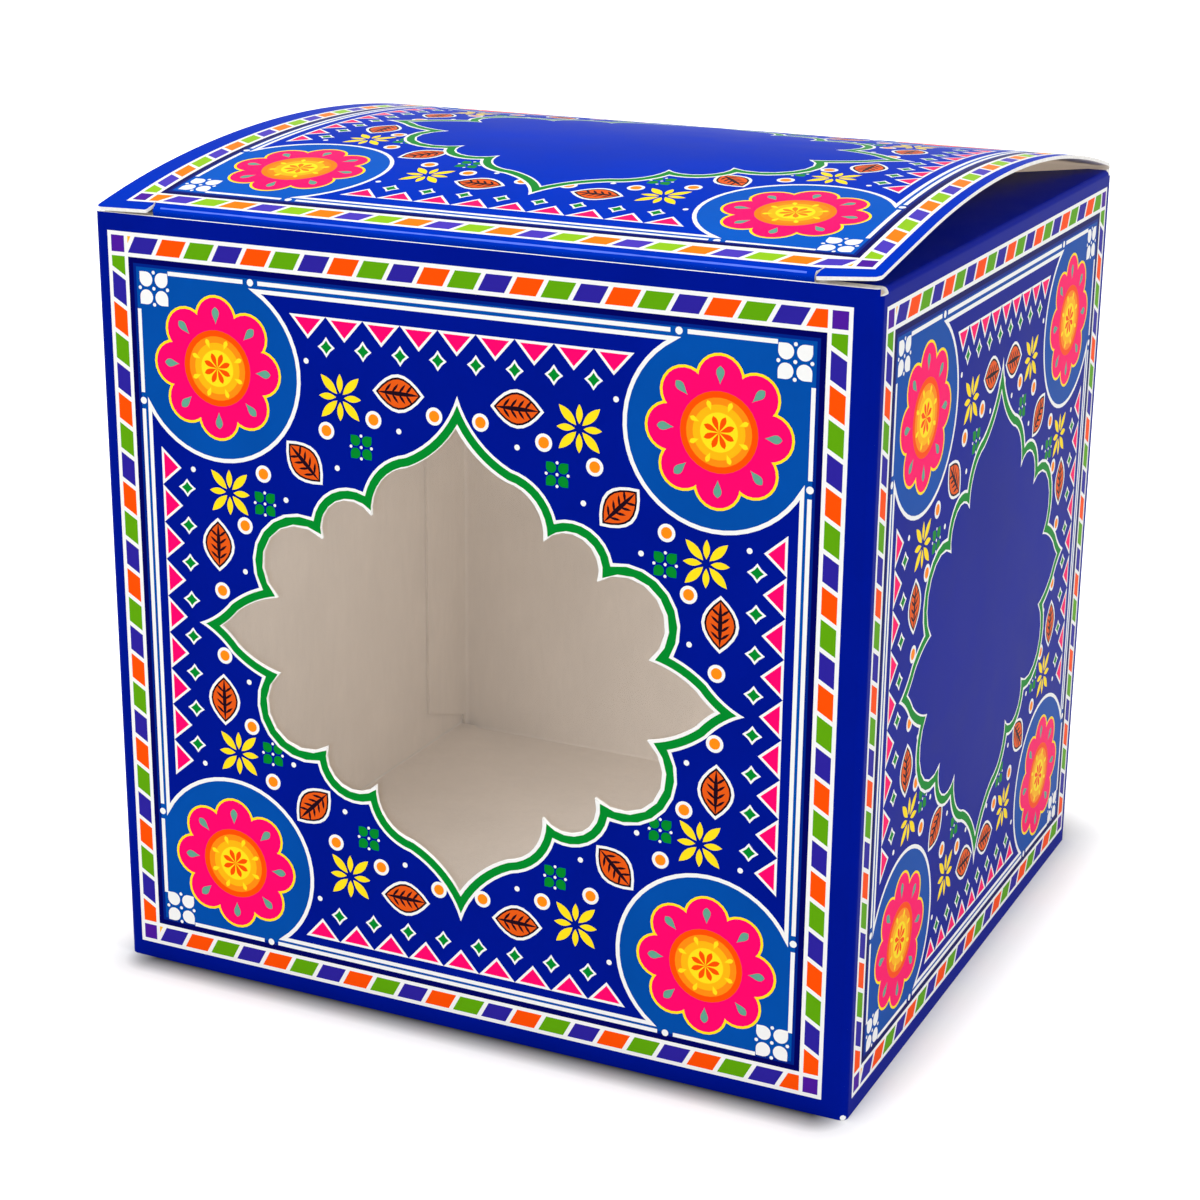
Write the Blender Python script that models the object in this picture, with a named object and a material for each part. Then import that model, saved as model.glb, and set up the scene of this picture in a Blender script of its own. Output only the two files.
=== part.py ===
"""Folding gift carton with a shaped window: one die-cut board folded into a square tube, a bowed lid
that tucks in at the front, a tuck-in bottom, and a clear film glued behind the window.
Metres, +Z up, the window faces -Y, and the origin is the middle of the footprint."""

import math

import bmesh
import bpy
from mathutils import Vector

# Carton
box_width = 0.102
box_depth = 0.094
wall_height = 0.100
board = 0.00045
corner_radius = 0.0010
clearance = 0.0003
overrun = 0.002

# Lid, its slits and the two tuck flaps
lid_crown = 0.0056
lid_side_margin = 0.0003
slit_length = 0.0075
slit_hook_radius = 0.0006
tuck_height = 0.013
tuck_neck = 0.0016
tuck_side_margin = 0.0012
tuck_side_draft = 0.0015
tuck_corner_radius = 0.008
tuck_setback = 0.0004
tuck_lean = math.radians(7)

# Dust flaps
dust_tip_gap = 0.006
dust_rear_relief = 0.0015
dust_rear_run = 0.003
dust_shoulder = 0.011
dust_turn_share = 0.46
dust_front_gap = 0.0007
dust_front_draft = 0.002
dust_corner_radius = 0.004

# Side seam
glue_flap_width = 0.013
glue_flap_end_gap = 0.0028
glue_flap_draft = 0.004
seam_setback = 0.0004

# Window and film
window_half_width = 0.0338
window_half_height = 0.0298
window_shift = -0.0009
window_centre_height = 0.0488
film = 0.00015
film_overlap = 0.0045
film_corner_radius = 0.003

# One quarter of the window: arcs from the top point to the side point, each given by a point that
# it passes through and its end, as shares of the half width and the half height
window_start_shares = (0.0, 1.0)
window_arc_shares = (
    ((0.074, 0.899), (0.195, 0.809)),
    ((0.305, 0.735), (0.343, 0.587)),
    ((0.491, 0.621), (0.550, 0.456)),
    ((0.775, 0.423), (0.749, 0.168)),
    ((0.855, 0.128), (0.929, 0.074)),
    ((0.962, 0.035), (1.000, 0.0)),
)

# Facets
window_arc_steps = (6, 5, 8, 10, 4, 3)
lid_steps = 28
bend_steps = 4
fillet_steps = 6
hook_steps = 9

# Levels and lines that follow from the sizes above
half_width = box_width / 2
half_depth = box_depth / 2
dust_reach = half_width - dust_tip_gap
fold_lift = board + clearance
lid_hinge_z = wall_height + fold_lift
side_wall_top = wall_height - fold_lift
lid_half_width = half_width - lid_side_margin
slit_end_x = lid_half_width - slit_length
tuck_fold_y = -(half_depth - board - tuck_setback)
tuck_half_width = half_width - board - tuck_side_margin
dust_front_y = tuck_fold_y + board + dust_front_gap
lid_radius = (half_depth**2 + lid_crown**2) / (2 * lid_crown)
lid_centre_z = lid_hinge_z + lid_crown - lid_radius
tuck_hinge_z = lid_centre_z + math.sqrt(lid_radius**2 - tuck_fold_y**2)
bottom_dust_hinge_z = fold_lift / 2
bottom_half_width = half_width - board - clearance

# Centres of the corner bends in plan, and the directions that the walls face
front_left = (corner_radius - half_width, corner_radius - half_depth)
front_right = (half_width - corner_radius, corner_radius - half_depth)
back_right = (half_width - corner_radius, half_depth - corner_radius)
back_left = (fold_lift + corner_radius - half_width, half_depth - corner_radius)
FRONT, RIGHT, BACK, LEFT = (0, -1), (1, 0), (0, 1), (-1, 0)

PRINT_BLUE = (0.002, 0.016, 0.300, 1)
BOARD_GREY = (0.560, 0.520, 0.470, 1)
FILM_CLEAR = (0.900, 0.920, 0.930, 1)


def clear_scene():
    for old in list(bpy.data.objects):
        bpy.data.objects.remove(old)


def paint(obj, colour, roughness, alpha=1.0):
    """Give the object a material of its own."""
    material = bpy.data.materials.new(obj.name)
    material.use_nodes = True
    shader = material.node_tree.nodes["Principled BSDF"]
    shader.inputs["Base Color"].default_value = colour
    shader.inputs["Roughness"].default_value = roughness
    shader.inputs["Metallic"].default_value = 0
    shader.inputs["Alpha"].default_value = alpha
    obj.data.materials.append(material)


def printed(obj):
    paint(obj, PRINT_BLUE, 0.32)


def prism(name, outline, sweep, origin=(0, 0, 0)):
    """Closed solid: a flat outline of 3-D points swept by a vector, with its origin at a given point."""
    shape = bmesh.new()
    near = [shape.verts.new(Vector(point) - Vector(origin)) for point in outline]
    far = [shape.verts.new(Vector(point) - Vector(origin) + Vector(sweep)) for point in outline]
    shape.faces.new(near)
    shape.faces.new(reversed(far))
    for i in range(len(outline)):
        j = (i + 1) % len(outline)
        shape.faces.new((near[i], far[i], far[j], near[j]))
    bmesh.ops.recalc_face_normals(shape, faces=shape.faces)
    mesh = bpy.data.meshes.new(name)
    shape.to_mesh(mesh)
    shape.free()
    obj = bpy.data.objects.new(name, mesh)
    obj.location = origin
    bpy.context.scene.collection.objects.link(obj)
    return obj


def cut(obj, cutter):
    """Take the cutter's shape out of the object."""
    cutter.hide_render = True
    cutter.display_type = "WIRE"
    modifier = obj.modifiers.new(cutter.name, "BOOLEAN")
    modifier.object = cutter
    modifier.operation = "DIFFERENCE"
    modifier.solver = "EXACT"


def attach(child, parent):
    """Hinge a piece on an unturned parent, keeping its place."""
    child.parent = parent
    child.location = Vector(child.location) - Vector(parent.location)


def arc_through(start, middle, end, steps):
    """Points after the start, up to the end, of the circle arc through three points."""
    (ax, ay), (bx, by), (cx, cy) = start, middle, end
    d = 2 * (ax * (by - cy) + bx * (cy - ay) + cx * (ay - by))
    a2, b2, c2 = ax**2 + ay**2, bx**2 + by**2, cx**2 + cy**2
    ox = (a2 * (by - cy) + b2 * (cy - ay) + c2 * (ay - by)) / d
    oy = (a2 * (cx - bx) + b2 * (ax - cx) + c2 * (bx - ax)) / d
    first = math.atan2(ay - oy, ax - ox)
    turn = math.atan2(cy - oy, cx - ox) - first
    passed = math.atan2(by - oy, bx - ox) - first
    turn, passed = turn % math.tau, passed % math.tau
    if passed > turn:
        turn -= math.tau
    radius = math.hypot(ax - ox, ay - oy)
    angles = [first + turn * i / steps for i in range(1, steps + 1)]
    return [(ox + radius * math.cos(a), oy + radius * math.sin(a)) for a in angles]


def rounded(corners):
    """Outline whose corners are (x, y, radius), with an arc in place of each corner with a radius."""
    outline = []
    for i, (x, y, radius) in enumerate(corners):
        here = Vector((x, y))
        if not radius:
            outline.append((x, y))
            continue
        to_last = (Vector(corners[i - 1][:2]) - here).normalized()
        to_next = (Vector(corners[(i + 1) % len(corners)][:2]) - here).normalized()
        half = to_last.angle(to_next) / 2
        inward = (to_last + to_next).normalized()
        centre = here + inward * radius / math.sin(half)
        first = here + to_last * radius / math.tan(half)
        last = here + to_next * radius / math.tan(half)
        outline.append(tuple(first))
        outline += arc_through(first, centre - inward * radius, last, fillet_steps)
    return outline


def folded_end(centre, normal, turn):
    """Outer and inner points of a wall's half of a corner bend, from its flat to the gap on the diagonal."""
    centre, normal, turn = Vector(centre), Vector(normal), Vector(turn)
    sides = []
    for radius in (corner_radius, corner_radius - board):
        last = math.pi / 4 - math.asin(clearance / 2 / radius)
        angles = [last * i / bend_steps for i in range(bend_steps + 1)]
        sides.append([centre + radius * (math.cos(a) * normal + math.sin(a) * turn) for a in angles])
    return sides


def cut_end(outer, inner):
    return [Vector(outer)], [Vector(inner)]


def upright(name, first, second, low, high):
    """A wall of board: its plan runs from one end to the other, and it stands from low to high."""
    plan = first[0][::-1] + second[0] + second[1][::-1] + first[1]
    return prism(name, [(p.x, p.y, low) for p in plan], (0, 0, high - low))


def window_quarter():
    """The window's edge from its top point to its right point, about its own centre."""
    def scaled(shares):
        return shares[0] * window_half_width, shares[1] * window_half_height

    points = [scaled(window_start_shares)]
    for (middle, end), steps in zip(window_arc_shares, window_arc_steps):
        points += arc_through(points[-1], scaled(middle), scaled(end), steps)
    return points


def window_outline():
    """The whole edge of the window, mirrored from one quarter, as (x, z) on the front wall."""
    quarter = window_quarter()
    half = quarter + [(x, -z) for x, z in quarter[-2::-1]]
    whole = half + [(-x, z) for x, z in half[-2:0:-1]]
    return [(x + window_shift, z + window_centre_height) for x, z in whole]


def make_front_wall():
    wall = upright(
        "front_wall",
        folded_end(front_left, FRONT, LEFT),
        folded_end(front_right, FRONT, RIGHT),
        0,
        wall_height,
    )
    outline = [(x, -half_depth - overrun, z) for x, z in window_outline()]
    cut(wall, prism("window_cutter", outline, (0, board + 2 * overrun, 0)))
    printed(wall)


def make_right_wall():
    first, second = folded_end(front_right, RIGHT, FRONT), folded_end(back_right, RIGHT, BACK)
    printed(upright("right_wall", first, second, 0, side_wall_top))


def make_back_wall():
    first, second = folded_end(back_right, BACK, RIGHT), folded_end(back_left, BACK, LEFT)
    printed(upright("back_wall", first, second, 0, wall_height))


def make_left_wall():
    seam_y = half_depth - seam_setback
    seam = cut_end((-half_width, seam_y), (board - half_width, seam_y))
    printed(upright("left_wall", folded_end(front_left, LEFT, FRONT), seam, 0, side_wall_top))


def make_glue_flap():
    """The flap folded off the back wall, glued inside the left wall, with its ends drawn in."""
    outer_x = fold_lift - half_width
    free_y = half_depth - glue_flap_width
    free = cut_end((outer_x, free_y), (outer_x + board, free_y))
    low, high = glue_flap_end_gap, side_wall_top - glue_flap_end_gap
    flap = upright("glue_flap", folded_end(back_left, LEFT, BACK), free, low, high)
    middle = (low + high) / 2
    for vertex in flap.data.vertices:
        drawn_in = glue_flap_draft * (half_depth - vertex.co.y) / glue_flap_width
        vertex.co.z += drawn_in if vertex.co.z < middle else -drawn_in
    paint(flap, BOARD_GREY, 0.75)


def make_window_film():
    y = -half_depth + board + clearance
    reach_x = window_half_width + film_overlap
    reach_z = window_half_height + film_overlap
    signs = ((-1, -1), (1, -1), (1, 1), (-1, 1))
    corners = [
        (window_shift + a * reach_x, window_centre_height + b * reach_z, film_corner_radius)
        for a, b in signs
    ]
    pane = prism("window_film", [(x, y, z) for x, z in rounded(corners)], (0, film, 0))
    paint(pane, FILM_CLEAR, 0.06, alpha=0.15)


def slit_hook(x, first):
    """Round end of a slit: three quarters of a circle about the slit's corner, from its first angle."""
    fold = tuck_fold_y + clearance
    turns = [first - 3 * math.pi / 2 * i / hook_steps for i in range(hook_steps + 1)]
    return [(x + slit_hook_radius * math.cos(a), fold + slit_hook_radius * math.sin(a)) for a in turns]


def slit_cutter():
    """What is missing in front of the lid's fold, between the two ears, with a hook at each slit's end."""
    front = -half_depth - overrun
    low = lid_hinge_z - fold_lift - overrun
    plan = [(-slit_end_x, front)]
    plan += slit_hook(-slit_end_x, 3 * math.pi / 2)
    plan += slit_hook(slit_end_x, math.pi)
    plan += [(slit_end_x, front)]
    return prism("slit_cutter", [(x, y, low) for x, y in plan], (0, 0, lid_crown + 2 * overrun))


def make_lid_panel():
    """The bowed lid: an arc of board from its hinge to the front edge, with an ear at each front corner."""
    front = -math.asin(half_depth / lid_radius)
    rear = -front - clearance / lid_radius
    turns = [rear + (front - rear) * i / lid_steps for i in range(lid_steps + 1)]

    def arc(radius):
        return [(radius * math.sin(a), lid_centre_z + radius * math.cos(a)) for a in turns]

    section = arc(lid_radius) + arc(lid_radius - board)[::-1]
    outline = [(-lid_half_width, y, z) for y, z in section]
    hinge = (0, half_depth, lid_hinge_z)
    lid = prism("lid_panel", outline, (2 * lid_half_width, 0, 0), hinge)
    cut(lid, slit_cutter())
    printed(lid)
    return lid


def tuck_flap(name, panel, hinge_z, fold_half_width, turned):
    """A tuck flap that hangs from its fold, or stands on it when turned, and leans into the box."""
    neck = fold_half_width - clearance
    tip = tuck_half_width - tuck_side_draft
    half = [
        (neck, -fold_lift, 0),
        (neck, -tuck_neck, 0),
        (tuck_half_width, -tuck_neck, 0),
        (tip, -tuck_height, tuck_corner_radius),
    ]
    corners = half + [(-x, z, radius) for x, z, radius in half[::-1]]
    flap = prism(name, [(x, 0, z) for x, z in rounded(corners)], (0, board, 0))
    flap.location = (0, tuck_fold_y, hinge_z)
    flap.rotation_euler = (tuck_lean, math.pi if turned else 0, 0)
    attach(flap, panel)
    printed(flap)


def dust_flap(name, side, hinge_z, near, low):
    """A dust flap folded in from a side wall. Its plan starts a little way in from the hinge line."""
    rear = half_depth - dust_rear_relief
    rear_tip = rear - dust_turn_share * dust_reach
    shoulder_end = dust_rear_run + dust_shoulder
    corners = [
        (near, rear, 0),
        (dust_rear_run, rear, 0),
        (shoulder_end, rear - dust_shoulder, dust_corner_radius),
        (dust_reach, rear_tip, dust_corner_radius),
        (dust_reach, dust_front_y + dust_front_draft, dust_corner_radius),
        (near, dust_front_y, 0),
    ]
    outline = [(-side * reach, y, low) for reach, y in rounded(corners)]
    flap = prism(name, outline, (0, 0, board))
    flap.location = (side * half_width, 0, hinge_z)
    printed(flap)


def make_top_flaps():
    lid = make_lid_panel()
    tuck_flap("lid_tuck_flap", lid, tuck_hinge_z, slit_end_x, turned=False)
    dust_flap("left_dust_flap", -1, wall_height, clearance, -board)
    dust_flap("right_dust_flap", 1, wall_height, clearance, -board)


def make_bottom_flaps():
    """The bottom panel lies inside the walls, level with their lower edges, under its two dust flaps."""
    rear, front = half_depth - fold_lift, tuck_fold_y + clearance
    ends = [(-bottom_half_width, rear), (bottom_half_width, rear)]
    ends += [(bottom_half_width, front), (-bottom_half_width, front)]
    outline = rounded([(x, y, corner_radius) for x, y in ends])
    hinge = (0, half_depth, 0)
    panel = prism("bottom_panel", [(x, y, 0) for x, y in outline], (0, 0, board), hinge)
    printed(panel)
    tuck_flap("bottom_tuck_flap", panel, 0, slit_end_x, turned=True)
    low = fold_lift - bottom_dust_hinge_z
    dust_flap("bottom_left_dust_flap", -1, bottom_dust_hinge_z, fold_lift, low)
    dust_flap("bottom_right_dust_flap", 1, bottom_dust_hinge_z, fold_lift, low)


def main():
    clear_scene()
    make_front_wall()
    make_right_wall()
    make_back_wall()
    make_left_wall()
    make_glue_flap()
    make_window_film()
    make_top_flaps()
    make_bottom_flaps()


main()
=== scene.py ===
"""Looks of the folding gift carton: printed and varnished board with white cut edges and creases that
bend, a clear film behind the window, a pale floor, studio light and the photograph's camera."""

import math

import bmesh
import bpy
from mathutils import Matrix, Vector, geometry

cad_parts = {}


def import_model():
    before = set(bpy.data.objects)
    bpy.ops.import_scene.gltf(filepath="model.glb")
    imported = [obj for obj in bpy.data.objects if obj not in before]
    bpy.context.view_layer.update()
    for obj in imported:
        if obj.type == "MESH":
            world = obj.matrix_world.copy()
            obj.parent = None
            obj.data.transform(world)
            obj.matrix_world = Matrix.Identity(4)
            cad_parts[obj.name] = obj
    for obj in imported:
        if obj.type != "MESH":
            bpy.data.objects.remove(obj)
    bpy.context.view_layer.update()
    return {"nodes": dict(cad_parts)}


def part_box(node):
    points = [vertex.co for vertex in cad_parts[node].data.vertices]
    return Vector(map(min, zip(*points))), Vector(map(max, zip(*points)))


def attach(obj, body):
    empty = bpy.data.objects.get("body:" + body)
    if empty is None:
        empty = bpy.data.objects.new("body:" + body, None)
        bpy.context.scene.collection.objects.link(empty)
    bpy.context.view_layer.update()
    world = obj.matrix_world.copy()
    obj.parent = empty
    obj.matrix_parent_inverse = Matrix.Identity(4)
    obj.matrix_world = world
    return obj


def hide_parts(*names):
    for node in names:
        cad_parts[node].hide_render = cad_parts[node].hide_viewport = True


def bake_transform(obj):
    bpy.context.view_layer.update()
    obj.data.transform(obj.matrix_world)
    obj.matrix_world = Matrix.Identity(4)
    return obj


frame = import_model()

# Sizes are in millimetres, and MM turns them into metres
MM = 0.001

# Carton, read from the frame where it says them
half_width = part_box("right_wall")[1].x / MM
half_depth = -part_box("front_wall")[0].y / MM
wall_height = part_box("front_wall")[1].z / MM
board = 0.45
corner_radius = 1.0
corner_reach = corner_radius * math.pi / 4
clearance = 0.3
fold_lift = board + clearance
seam_setback = 0.4

# Lid, slits, tuck flaps and dust flaps
lid_side_margin = 0.3
lid_hinge_z = wall_height + fold_lift
lid_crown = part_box("lid_panel")[1].z / MM - lid_hinge_z
slit_length = 7.5
slit_tail = 1.1
slit_tail_lean = 0.35
slit_width = 0.22
ear_lift = 0.6
ear_lift_reach = 16.0
ear_rest = 0.2
ear_root = 1.6
ear_corner_radius = 0.8
ear_corner_steps = 4
tuck_height = 13.0
tuck_neck = 1.6
tuck_side_margin = 1.2
tuck_side_draft = 1.5
tuck_corner_radius = 8.0
tuck_setback = 0.4
tuck_lean = math.radians(7)
tuck_fold_radius = 0.7
bottom_fold_radius = 0.65
dust_fold_radius = 0.6
dust_tip_gap = 6.0
dust_rear_relief = 1.5
dust_rear_run = 3.0
dust_shoulder = 11.0
dust_turn_share = 0.46
dust_front_gap = 0.7
dust_front_draft = 2.0
dust_corner_radius = 4.0
glue_flap_width = 13.0
glue_flap_end_gap = 2.8
glue_flap_draft = 4.0
glue_flap_root_gap = 0.4
seam_gap = 0.02
seam_lift = board + seam_gap

# Painted highlight: a band of lighter ink along the lid's front fold. Wear: white specks at the lower
# front corner
fold_highlight_width = 0.3
fold_highlight_share = 0.42
fold_highlight_end_gap = 1.0
front_speck = 0.36
front_speck_rise_share = 0.9
front_speck_gap = 0.15
side_speck_share = 0.8

# Window
window_half_width = 33.8
window_half_height = 29.8
window_shift = -0.9
window_centre_height = 48.8
window_start_shares = (0.0, 1.0)
window_arc_shares = (
    ((0.074, 0.899), (0.195, 0.809)),
    ((0.305, 0.735), (0.343, 0.587)),
    ((0.491, 0.621), (0.550, 0.456)),
    ((0.775, 0.423), (0.749, 0.168)),
    ((0.855, 0.128), (0.929, 0.074)),
    ((0.962, 0.035), (1.000, 0.0)),
)

# Print: the borders' margins on the walls, and insets from the print's own outer edge, as (from the
# sides, from the top and bottom)
print_margin_left = 1.9
print_margin_right = 3.15
print_margin_top = 2.2
print_margin_bottom = 2.15
side_print_margin = 1.9
border_line = 0.5
stripe_bands = (1.9, 2.05)
stripe_pitches = (4.03, 3.84)
stripe_gap = 0.6
stripe_slant = 1.1
first_stripe = 1.3
navy_line = 0.7
shade_line = 0.4
line_width = 0.52
outer_line_inset = (4.25, 4.35)
inner_line_inset = (5.15, 5.25)
line_start_inset = 8.6
line_dot_inset = (20.4, 20.2)
line_dot_radius = 0.45
line_dot_gap = 1.05
medallion_inset = (15.3, 14.95)
medallion_radius = 11.6
knot_inset = (6.5, 6.35)
knot_petal = 0.93
knot_tip = 0.24
row_end_inset = 25.8
triangle_inset = (6.6, 7.0)
triangle_height = 2.85
triangle_count = 9
triangle_edge = 0.32
diamond_inset = (10.2, 10.65)
diamond_reach = 1.25
diamond_core_reach = 0.82
sprig_petal = 0.66
sprig_tip = 0.2
small_dot_radius = 0.36
outer_line_drop = 0.27
inner_line_drop = 0.34
content_drop = 0.75
cartouche_lines = (1.65, 1.27, 0.25)
lid_print_shift = 0.8
print_half_x = half_width - (print_margin_left + print_margin_right) / 2
print_half_z = (wall_height - print_margin_top - print_margin_bottom) / 2

# Floor: where a painted shadow darkens its colour at the box's foot and where its own white light sets in,
# in metres from a footprint that is narrower than the box, since the shadow is strongest in front
floor_foot_narrower = 4.2
painted_foot_shadow_tone = 0.05
floor_tone = 0.74
painted_foot_shadow_reach = 0.0044
floor_glow_start = 0.0025
floor_glow_end = 0.018
floor_glow = 0.95
floor_hole_margin = 0.6
floor_hole_edge = 1e-6
floor_radius = 4.0
floor_gap = 0.00005

# Light, in metres and watts: each lamp's place, its width and its power
LAMPS = {
    "top_light": ((-0.15, -0.1, 0.9), 0.7, 3.3),
    "front_light": ((-0.1, -0.85, 0.58), 0.6, 4.5),
    "side_light": ((1.2, -0.1, 0.75), 0.6, 8.6),
    "left_light": ((-1.0, -0.35, 0.3), 0.8, 2.6),
}
lamp_target = (0, 0, 0.05)
inside_light_place = (0.008, -0.014, 0.048)
inside_light_radius = 0.025
inside_light_power = 0.025
world_strength = 0.36

# Camera of the photograph, with its clip range in metres
camera_place = (140.41, -306.44, 155.32)
camera_azimuth = math.radians(25.24)
camera_elevation = math.radians(18.34)
camera_roll = math.radians(0.61)
focal_length = 77.84
sensor_width = 36
clip_range = (0.01, 20)

# Facets
arc_steps = 8
bay_steps = 30
bend_steps = 6
lid_steps = 30
speck_steps = 9
floor_steps = 96
line_overrun = 1.0

half_pi = math.pi / 2
x_way = (1, 0, 0)
y_way = (0, 1, 0)
just_past_flat = 1e-9
cut_tolerance = 1e-5


def srgb(*screen):
    """Linear colour from eight-bit screen values, by the standard curve."""
    shares = [value / 255 for value in screen]
    return tuple(s / 12.92 if s < 0.0404 else ((s + 0.055) / 1.055) ** 2.4 for s in shares) + (1,)


# Screen colours of the inks, the board and its cut edge
INK_COLOURS = {
    "royal": (0, 20, 136),
    # lid_royal is a lighter copy of royal: painted light, for the brighter light on the lid's top
    "lid_royal": (0, 48, 181),
    "navy": (2, 4, 88),
    "shade": (2, 34, 128),
    "mid": (4, 74, 160),
    "white": (238, 238, 236),
    "pink": (250, 8, 105),
    "orange": (250, 78, 6),
    "leaf": (226, 88, 22),
    "dark": (30, 12, 26),
    "dot": (250, 138, 20),
    "green": (92, 160, 14),
    "line_green": (4, 132, 42),
    "yellow": (252, 220, 30),
    "gold": (252, 180, 20),
    "indigo": (44, 34, 150),
    "sage": (96, 160, 138),
    "purple": (76, 26, 150),
    # Lighter lid copies of indigo, orange, green and mid: painted light, for the brighter light on the
    # lid's top
    "lid_indigo": (74, 56, 182),
    "lid_orange": (240, 126, 16),
    "lid_green": (142, 194, 28),
    "lid_mid": (14, 86, 186),
    # Painted highlight: the lighter ink along the lid's front fold
    "fold_light": (84, 112, 226),
}
BLOTCHED_INKS = ("royal", "lid_royal", "mid", "lid_mid", "fold_light")
LID_GROUND_INKS = ("lid_royal", "lid_mid")
INK_INDEX = 1.045
LID_GROUND_INDEX = 1.022
RAW_EDGE = srgb(245, 243, 239)
INNER_BOARD = srgb(247, 237, 226)


# Materials
def new_material(name):
    material = bpy.data.materials.new(name)
    material.use_nodes = True
    tree = material.node_tree
    return material, tree, tree.nodes["Principled BSDF"]


def feed(tree, node, inputs):
    """Sets a node's inputs, or links those that are given as another node's socket."""
    for name, value in dict(inputs).items():
        if isinstance(value, bpy.types.NodeSocket):
            tree.links.new(value, node.inputs[name])
        else:
            node.inputs[name].default_value = value


def node(tree, kind, inputs=()):
    new = tree.nodes.new("ShaderNode" + kind)
    feed(tree, new, inputs)
    return new


def maths(tree, operation, *values):
    """The result of a maths node, from sockets and plain numbers."""
    result = node(tree, "Math", dict(enumerate(values)))
    result.operation = operation
    return result.outputs[0]


def background_rays(tree):
    """One for a ray that shows the background: straight from the camera, mirrored or through glass."""
    rays = node(tree, "LightPath").outputs
    mirrored = maths(tree, "MAXIMUM", rays["Is Glossy Ray"], rays["Is Transmission Ray"])
    return maths(tree, "MAXIMUM", rays["Is Camera Ray"], mirrored)


def noise(tree, scale, detail=4.0, roughness=0.6, stretch=(1, 1, 1)):
    place = node(tree, "TexCoord").outputs["Object"]
    stretched = node(tree, "Mapping", {"Vector": place, "Scale": stretch}).outputs["Vector"]
    inputs = {"Vector": stretched, "Scale": scale, "Detail": detail, "Roughness": roughness}
    return node(tree, "TexNoise", inputs).outputs["Fac"]


def spread(tree, value, low, high, start=0.3, end=0.7):
    """A value that runs from low to high where the given one runs from start to end."""
    inputs = {"Value": value, "From Min": start, "From Max": end, "To Min": low, "To Max": high}
    return node(tree, "MapRange", inputs).outputs["Result"]


def bumps(tree, shader, height, strength, distance):
    bump = node(tree, "Bump", {"Height": height, "Strength": strength, "Distance": distance})
    feed(tree, shader, {"Normal": bump.outputs["Normal"]})


def mottle(tree, shader, colour, factor, dark, light):
    """Colour that wanders between a darker and a lighter tone of itself."""
    mix = node(tree, "Mix")
    mix.data_type = "RGBA"
    low, high = (tuple(min(c * tone, 1) for c in colour[:3]) + (1,) for tone in (dark, light))
    feed(tree, mix, {"A": low, "B": high, "Factor": factor})
    feed(tree, shader, {"Base Color": mix.outputs["Result"]})


def ink(name, *colour):
    """Printed ink under a thin varnish: fine orange peel, uneven gloss and, on large fields, a faint
    mottle. The lid's ground mirrors less, as the light falls along it."""
    material, tree, shader = new_material("ink_" + name)
    index = LID_GROUND_INDEX if name in LID_GROUND_INKS else INK_INDEX
    peel = noise(tree, scale=1500, detail=3.0)
    gloss = spread(tree, noise(tree, scale=140, detail=2.0), low=0.285, high=0.325)
    feed(tree, shader, {"Base Color": srgb(*colour), "IOR": index, "Roughness": gloss})
    bumps(tree, shader, peel, strength=0.05, distance=0.00002)
    if name in BLOTCHED_INKS:
        cloud = spread(tree, noise(tree, scale=70, detail=5.0, roughness=0.62), low=0, high=1)
        mottle(tree, shader, srgb(*colour), cloud, dark=0.93, light=1.08)
    return material


def raw_edge():
    """Cut board: white fibres with fine layers and shadows between them."""
    material, tree, shader = new_material("raw_edge")
    fibres = noise(tree, scale=2200, detail=5.0, roughness=0.7)
    mottle(tree, shader, RAW_EDGE, spread(tree, fibres, low=0, high=1), dark=0.86, light=1.04)
    bumps(tree, shader, fibres, strength=0.3, distance=0.00004)
    feed(tree, shader, {"Roughness": 0.85, "Specular IOR Level": 0.2})
    return material


def inner_board():
    """Uncoated inside of the board: warm white with soft clouds and small darker fibres."""
    material, tree, shader = new_material("inner_board")
    cloud = spread(tree, noise(tree, scale=90, detail=6.0), low=0.55, high=1.0)
    fibre = noise(tree, scale=900, roughness=0.7, stretch=(1, 1, 0.25))
    both = maths(tree, "MULTIPLY", cloud, spread(tree, fibre, low=0.6, high=1.0))
    mottle(tree, shader, INNER_BOARD, both, dark=0.86, light=1.0)
    bumps(tree, shader, fibre, strength=0.12, distance=0.00002)
    feed(tree, shader, {"Roughness": 0.8, "Specular IOR Level": 0.25})
    return material


def blended_surface(tree, share, first, second):
    """Sends two shaders to the material's output, with a share of the second."""
    mix = node(tree, "MixShader", {"Fac": share, 1: first.outputs[0], 2: second.outputs[0]})
    feed(tree, tree.nodes["Material Output"], {"Surface": mix.outputs["Shader"]})


def clear_film():
    """Clear film: see-through, with a thin mirror on it that grows at a slant and a little waviness."""
    head_on_share = 0.013
    grazing_share = 0.9
    grazing_power = 5
    material, tree, shader = new_material("clear_film")
    tree.nodes.remove(shader)
    clear = node(tree, "BsdfTransparent", {"Color": (0.99, 0.995, 1.0, 1)})
    mirror = node(tree, "BsdfGlossy", {"Color": (0.95, 0.97, 1.0, 1), "Roughness": 0.08})
    grazing = maths(tree, "POWER", node(tree, "LayerWeight").outputs["Facing"], grazing_power)
    share = maths(tree, "MULTIPLY_ADD", grazing, grazing_share, head_on_share)
    bumps(tree, mirror, noise(tree, scale=45, detail=2.0), strength=0.15, distance=0.0002)
    blended_surface(tree, share, clear, mirror)
    return material


INKS = {name: ink(name, *colour) for name, colour in INK_COLOURS.items()}
INKS["edge"] = raw_edge()
INKS["inside"] = inner_board()


# Flat shapes, as lists of (x, y)
def box_shape(x0, y0, x1, y1):
    return [(x0, y0), (x1, y0), (x1, y1), (x0, y1)]


def centred(half_x, half_y):
    return box_shape(-half_x, -half_y, half_x, half_y)


def polar(x, y, reach, angle):
    """The point at a distance and an angle from (x, y)."""
    return (x + reach * math.cos(angle), y + reach * math.sin(angle))


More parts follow.
